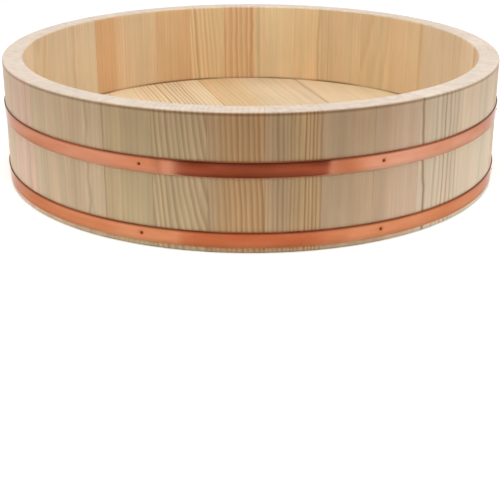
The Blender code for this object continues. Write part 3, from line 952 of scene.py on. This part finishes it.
def hoop_strip(hoop, material):
    """A hoop: the strip's section, as depth from its back and rise from its lower edge, carried once round
    the wall and on over its own start, with sine waves that grow towards its upper edge and a bell-shaped
    dimple at each tack."""
    bottom, top = HOOP_BOTTOM[hoop], HOOP_TOP[hoop]
    width = top - bottom
    places = tack_places(hoop)
    turns = strip_turns(places[LAP_TACK - 1, 0], places)
    depth, rise = rounded_bar(0, STRIP_THICKNESS, 0, width, STRIP_EDGE, STRIP_EDGE_STEPS, STRIP_SIDE_STEPS).T
    share = rise / width
    height = bottom + rise + 0 * turns[:, None]
    past_ramp = (turns - turns[-1]) * RIM_RADIUS + LAP_LENGTH + LAP_RAMP
    lift = (STRIP_THICKNESS + STRIP_SEAT) * smooth_step(past_ramp / LAP_RAMP)
    phases = chance.uniform(0, 2 * np.pi, len(STRIP_WAVE_COUNTS))
    waves = sum(np.sin(count * turns + phase) for count, phase in zip(STRIP_WAVE_COUNTS, phases))
    wave = STRIP_WAVE * waves[:, None] / len(STRIP_WAVE_COUNTS) * share
    beside = wrapped(turns[:, None, None] - places[:, 0]) * RIM_RADIUS
    apart = np.hypot(beside, height[..., None] - places[:, 1])
    dimple = DIMPLE_DEPTH * np.exp(-(apart / DIMPLE_REACH)**2).sum(axis=-1)
    radius = outer_radius(height) + strip_gap(share) + depth + lift[:, None] + wave - dimple
    mesh = swept_mesh("fine_hoop_" + hoop, round_axis(radius, turns[:, None], height))
    along = turns[:, None] * RIM_RADIUS + 0 * radius
    strip_place = np.stack([along, rise + 0 * radius, 0 * radius], axis=-1) / MM
    strip_place += (chance.uniform(0, STRIP_SHIFT_MM), 0, hoop == "lower")
    paint(mesh, "strip_place", "FLOAT_VECTOR", "vector", strip_place)
    paint(mesh, "tarnish", "FLOAT", "value", strip_tarnish(hoop, turns, apart))
    place_piece(mesh, material, "hoop_" + hoop)


def tack(hoop, number, material):
    """A tack: a domed head on a thin shank, turned round the line that it is driven along."""
    angle, height = tack_places(hoop)[number - 1]
    bottom, top = HOOP_BOTTOM[hoop], HOOP_TOP[hoop]
    laps = 2 if number == LAP_TACK else 1
    gap = strip_gap((height - bottom) / (top - bottom))
    seat = outer_radius(height) + gap + laps * STRIP_THICKNESS + (laps - 1) * STRIP_SEAT - DIMPLE_DEPTH
    dome = np.linspace(TACK_DOME_START, 1, TACK_DOME_STEPS) * np.pi / 2
    head = np.stack([TACK_HEAD / 2 * np.sin(dome), TACK_DOME * np.cos(dome)], axis=-1)
    shank_radius = TACK_SHANK / 2
    shank = [(shank_radius, -TACK_BRIM), (shank_radius, TACK_POINT - TACK_LENGTH), (TACK_TIP, -TACK_LENGTH)]
    profile = np.concatenate([head, shank])
    spin = np.linspace(0, 2 * np.pi, TACK_SIDES, endpoint=False)
    sideways = profile[:, :1] * np.cos(spin)
    upwards = profile[:, :1] * np.sin(spin)
    ahead = seat + profile[:, 1:] + 0 * sideways
    rings = np.stack([ahead * np.sin(angle) + sideways * np.cos(angle),
                      -ahead * np.cos(angle) + sideways * np.sin(angle), height + upwards], axis=-1)
    node = f"tack_{hoop}_{number}"
    place_piece(swept_mesh("fine_" + node, rings), material, node)


# The tub

def build_tub():
    """Make each material once, then every stave, board, hoop and tack, and finish the pins' own solids."""
    stave_wood = softwood("bare_cypress_staves", wall_weathering_and_shade, sawn_rim)
    board_wood = softwood("bare_cypress_boards", floor_corner_shade)
    copper = rolled_copper("rolled_copper_strip")
    tack_metal = browned_copper("browned_copper_tacks")
    bamboo = split_bamboo("split_bamboo_pins")
    for node in STAVES:
        number = int(node.removeprefix("stave_"))
        stave(node, STAVE_LOOKS[number], stave_wood)
    for node, look in zip(BOARDS, BOARD_LOOKS):
        board(node, look, board_wood)
    for hoop in HOOPS:
        hoop_strip(hoop, copper)
        for number in range(1, TACK_COUNT + 1):
            tack(hoop, number, tack_metal)
    for node in PINS:
        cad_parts[node].data.materials.clear()
        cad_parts[node].data.materials.append(bamboo)


# Studio

FLOOR_SIZE = 9.0
FLOOR_WHITENS = (0.45, 1.1)
FLOOR_BOUNCE = "#C2C2C2"
FLOOR_PAPER = "#F4F4F4"
FLOOR_GLOW = 0.22
WORLD_LIGHT = 0.06

# Name, place and side of each lamp, in metres, and its power in watts
LAMPS = (
    ("overhead_lamp", (0, 0.2, 2.4), 3.0, 42),
    ("front_lamp", (0, -1.2, 2.0), 1.0, 21),
    ("left_lamp", (-1.7, -0.1, 0.7), 1.1, 14),
    ("right_lamp", (1.7, -0.1, 0.7), 1.1, 15),
)

# Brown card: a sector of a ring on the floor
CARD_RISE = 0.5 * MM
CARD_NEAR_RADIUS = 0.184
CARD_FAR_RADIUS = 0.42
CARD_TURN = math.radians(55)
CARD_STEPS = 24
CARD_FAR_MIDDLE = "#A87761"
CARD_FAR_SIDE = "#C08D7B"
# Near part: painted shade of the tub's warm shadow on the floor, which only the lower hoop mirrors
CARD_NEAR_SHADE = "#D0803F"

# Where the upper and the lower hoop mirror the card, and half its width and its middle there
CARD_MIRRORED_Y = (-0.335, -0.200)
CARD_HALF = (0.155, 0.0555)
CARD_MIDDLE = (0.0, -4.9 * MM)

# Where the upper hoop's part gives way to the lower hoop's, and how much of the card is left by then
CARD_CHANGE_Y = (-0.275, -0.200)
CARD_THIN = 0.58

# How much the card covers, by the place aside in half widths, as each hoop mirrors it
CARD_COVER_REACH = 2.0
CARD_COVER = {
    "upper": ((-1.55, 0), (-1.31, 0.38), (-1.20, 0.10), (-1.09, 0.14), (-0.97, 0.70), (-0.89, 0.92),
              (-0.75, 1), (0.90, 1), (1.02, 0.94), (1.11, 0.28), (1.25, 0.28), (1.50, 0.20), (1.75, 0)),
    "lower": ((-1.06, 0), (-0.92, 0.62), (-0.74, 0.92), (-0.60, 1),
              (0.70, 1), (0.91, 0.90), (1.12, 0.64), (1.32, 0.40), (1.74, 0.24), (1.95, 0)),
}

# How bright the far part is, by the distance from the tub's axis, and how far its bands are squeezed sideways
CARD_SHADE_REACH = 0.4
CARD_SHADE = ((0.270, 0.75), (0.292, 0.36), (0.299, 0.40), (0.3015, 0.64), (0.304, 0.86), (0.310, 0.99),
              (0.317, 1.11), (0.320, 1.06), (0.3225, 0.84), (0.325, 0.54), (0.328, 0.38), (0.350, 0.40))
CARD_SQUEEZE = math.sqrt(1.18)

# Height that no point of a graph passes
GRAPH_TOP = 2.0

# Camera
CAMERA_LENS = 75.23
CAMERA_SENSOR = 36
CAMERA_SHIFT = -0.15
CAMERA_DISTANCE = 0.7905
CAMERA_RISE = math.radians(15.34)
CAMERA_PITCH = math.radians(19.08)
CAMERA_ASIDE = -0.5 * MM


def seen_ray(tree):
    """1 for rays that come straight from the camera or from a mirror or glass, 0 for the rest."""
    path = add(tree, "LightPath").outputs
    seen = add(tree, "Math", {0: path["Is Camera Ray"], 1: path["Is Glossy Ray"]}, operation="MAXIMUM")
    return add(tree, "Math", {0: seen, 1: path["Is Transmission Ray"]}, operation="MAXIMUM")


def graph(tree, value, reach, points):
    """A value put through a graph of straight lines between points, level beyond the first and the last.
    The points lie between minus and plus the reach, and their heights between 0 and GRAPH_TOP."""
    share = add(tree, "MapRange", {"Value": value, **from_span(-reach, reach)})
    ramp = add(tree, "ValToRGB", {0: share})
    stops = ramp.color_ramp.elements
    for place, height in points:
        stops.new((place / reach + 1) / 2).color = (height / GRAPH_TOP,) * 3 + (1,)
    stops[0].color = stops[1].color
    stops[-1].color = stops[-2].color
    return add(tree, "Math", {0: ramp, 1: GRAPH_TOP}, operation="MULTIPLY")


def stage_piece(name, points, faces, material):
    """A mesh that belongs to the studio and not to the tub."""
    mesh = bpy.data.meshes.new(name)
    mesh.from_pydata(points, [], faces)
    mesh.materials.append(material)
    piece = new_object(name, mesh)
    return piece


def pale_floor(name):
    """Matt paper. For the rays that are seen it is pale near the tub, where it keeps the shadow, with a
    little light of its own, and plain white far away. Other rays meet a greyer paper, which throws less
    light back."""
    material, tree = new_tree(name)
    bounce = add(tree, "BsdfDiffuse", {"Color": FLOOR_BOUNCE})
    paper = add(tree, "BsdfDiffuse", {"Color": FLOOR_PAPER})
    glow = add(tree, "Emission", {"Color": WHITE, "Strength": FLOOR_GLOW})
    near = add(tree, "AddShader", {0: paper, 1: glow})
    white = add(tree, "Emission", {"Color": WHITE, "Strength": 1.0})
    place = add(tree, "TexCoord").outputs["Object"]
    away = add(tree, "VectorMath", {0: place}, operation="LENGTH").outputs["Value"]
    far = add(tree, "MapRange", {"Value": away, **from_span(*FLOOR_WHITENS)}, **SMOOTH)
    seen = add(tree, "MixShader", {0: far, 1: near, 2: white})
    surface = add(tree, "MixShader", {0: seen_ray(tree), 1: bounce, 2: seen})
    add(tree, "OutputMaterial", {"Surface": surface})
    return material


def lay_floor():
    """A level square under the tub."""
    half = FLOOR_SIZE / 2
    corners = [(-half, -half, 0), (half, -half, 0), (half, half, 0), (-half, half, 0)]
    stage_piece("studio_floor", corners, [(0, 1, 2, 3)], pale_floor("pale_studio_floor"))


def card_cover(tree, part, nearness):
    """How much the card covers, and the place aside in half widths. The card widens away from the tub, its
    sides fade, and it thins towards the tub."""
    mirrored = {"Value": part["Y"], **from_span(*CARD_MIRRORED_Y)}
    width = add(tree, "MapRange", {**mirrored, **to_span(*CARD_HALF)}, clamp=False)
    middle = add(tree, "MapRange", {**mirrored, **to_span(*CARD_MIDDLE)}, clamp=False)
    from_middle = add(tree, "Math", {0: part["X"], 1: middle}, operation="SUBTRACT")
    aside = add(tree, "Math", {0: from_middle, 1: width}, operation="DIVIDE")
    upper, lower = (graph(tree, aside, CARD_COVER_REACH, CARD_COVER[hoop]) for hoop in HOOPS)
    cover = add(tree, "Mix", {0: nearness, 2: upper, 3: lower})
    change = {"Value": part["Y"], **from_span(*CARD_CHANGE_Y)}
    thinning = add(tree, "MapRange", {**change, **to_span(1.0, CARD_THIN)}, **SMOOTH)
    return add(tree, "Math", {0: cover, 1: thinning}, operation="MULTIPLY"), aside


def brown_card(name):
    """Matt brown card. The upper hoop mirrors its far part, with darker bands at the places that the edges
    of the hoop show, which paint shade at those edges, and the lower hoop mirrors its near part, which is
    more orange and is painted shade of the tub on the floor."""
    material, tree = new_tree(name)
    place = add(tree, "TexCoord").outputs["Object"]
    part = add(tree, "SeparateXYZ", {0: place}).outputs
    nearness = add(tree, "MapRange", {"Value": part["Y"], **from_span(*CARD_CHANGE_Y)})
    cover, aside = card_cover(tree, part, nearness)
    sideways = add(tree, "Math", {0: aside}, operation="ABSOLUTE")
    far = add(tree, "Mix", {0: sideways, 6: CARD_FAR_MIDDLE, 7: CARD_FAR_SIDE}, data_type="RGBA")
    squeezed = add(tree, "VectorMath", {0: place, 1: (CARD_SQUEEZE, 1, 0)}, operation="MULTIPLY")
    away = add(tree, "VectorMath", {0: squeezed}, operation="LENGTH").outputs["Value"]
    shade = graph(tree, away, CARD_SHADE_REACH, CARD_SHADE)
    shaded = add(tree, "VectorMath", {0: far.outputs[2], "Scale": shade}, operation="SCALE")
    # near part: painted shade of the tub on the floor
    colour = add(tree, "Mix", {0: nearness, 6: shaded, 7: CARD_NEAR_SHADE}, data_type="RGBA")
    brown = add(tree, "BsdfDiffuse", {"Color": colour.outputs[2]})
    clear = add(tree, "BsdfTransparent")
    add(tree, "OutputMaterial", {"Surface": add(tree, "MixShader", {0: cover, 1: clear, 2: brown})})
    return material


def lay_card():
    """A card on the floor in front, between two arcs round the tub. Only mirrored rays see it, and the
    bright copper shows it as a dark stretch."""
    turns = np.linspace(-CARD_TURN, CARD_TURN, CARD_STEPS + 1)
    arcs = [round_axis(radius, turns, CARD_RISE) for radius in (CARD_FAR_RADIUS, CARD_NEAR_RADIUS)]
    far_at = np.arange(CARD_STEPS)
    near_at = far_at + CARD_STEPS + 1
    faces = np.stack([far_at, far_at + 1, near_at + 1, near_at], axis=-1)
    card = stage_piece("brown_card", np.concatenate(arcs).tolist(), faces.tolist(), brown_card("brown_card"))
    card.visible_camera = False
    card.visible_diffuse = False
    card.visible_shadow = False


def light_world():
    """White where it is seen, and a weak even light on the object."""
    world = bpy.data.worlds.new("studio")
    world.use_nodes = True
    tree = world.node_tree
    tree.nodes.clear()
    weak = add(tree, "Background", {"Color": WHITE, "Strength": WORLD_LIGHT})
    white = add(tree, "Background", {"Color": WHITE, "Strength": 1.0})
    surface = add(tree, "MixShader", {0: seen_ray(tree), 1: weak, 2: white})
    add(tree, "OutputWorld", {"Surface": surface})
    bpy.context.scene.world = world


def hang_lamp(name, place, side, power):
    """A square soft lamp that faces the tub."""
    lamp = bpy.data.lights.new(name, "AREA")
    lamp.size = side
    lamp.energy = power
    holder = new_object(name, lamp)
    holder.location = place
    holder.rotation_mode = "QUATERNION"
    holder.rotation_quaternion = holder.location.to_track_quat("Z", "Y")


def set_camera():
    """The camera stands in front of the tub and looks a little down at it."""
    data = bpy.data.cameras.new("camera")
    data.lens = CAMERA_LENS
    data.sensor_width = CAMERA_SENSOR
    data.shift_y = CAMERA_SHIFT
    camera = new_object("camera", data)
    camera.location = (CAMERA_ASIDE, -CAMERA_DISTANCE * math.cos(CAMERA_RISE),
                       HEIGHT / 2 + CAMERA_DISTANCE * math.sin(CAMERA_RISE))
    camera.rotation_euler = (math.pi / 2 - CAMERA_PITCH, 0, 0)
    bpy.context.scene.camera = camera


build_tub()
lay_floor()
lay_card()
light_world()
for lamp in LAMPS:
    hang_lamp(*lamp)
set_camera()
bpy.context.scene.view_settings.view_transform = "Standard"
